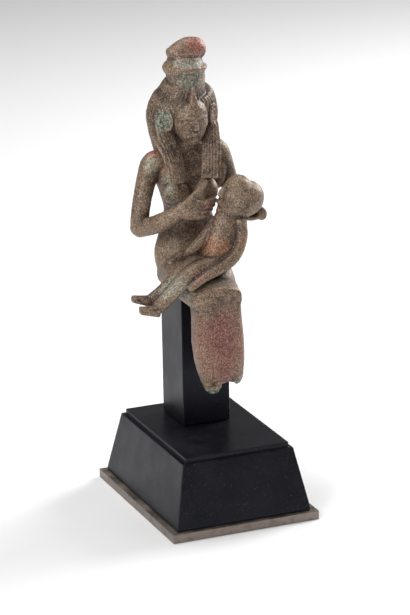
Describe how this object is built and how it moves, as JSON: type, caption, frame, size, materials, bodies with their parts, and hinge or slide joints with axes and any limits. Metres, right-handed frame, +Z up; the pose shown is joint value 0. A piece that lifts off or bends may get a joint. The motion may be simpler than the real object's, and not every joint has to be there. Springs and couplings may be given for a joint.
{
  "type": "egyptian votive statuette",
  "caption": "Small cast bronze of a seated goddess nursing a child on her lap, legs broken at the ankles, on a black display stand.",
  "frame": {"origin": "centre of the base plate's underside", "axes": "+Z up, the goddess faces -Y, +X to her left, which is the right side of a viewer in front"},
  "size_m": [0.0618, 0.079, 0.1809],
  "materials": {
    "bronze": "matt brown bronze with fine green corrosion",
    "black_paint": "satin black paint",
    "plate_metal": "brushed, dulled"
  },
  "bodies": {
    "root": {"bronze_figure": "bronze", "seat_post": "black_paint", "plinth": "black_paint", "base_plate": "plate_metal"}
  },
  "joints": []
}
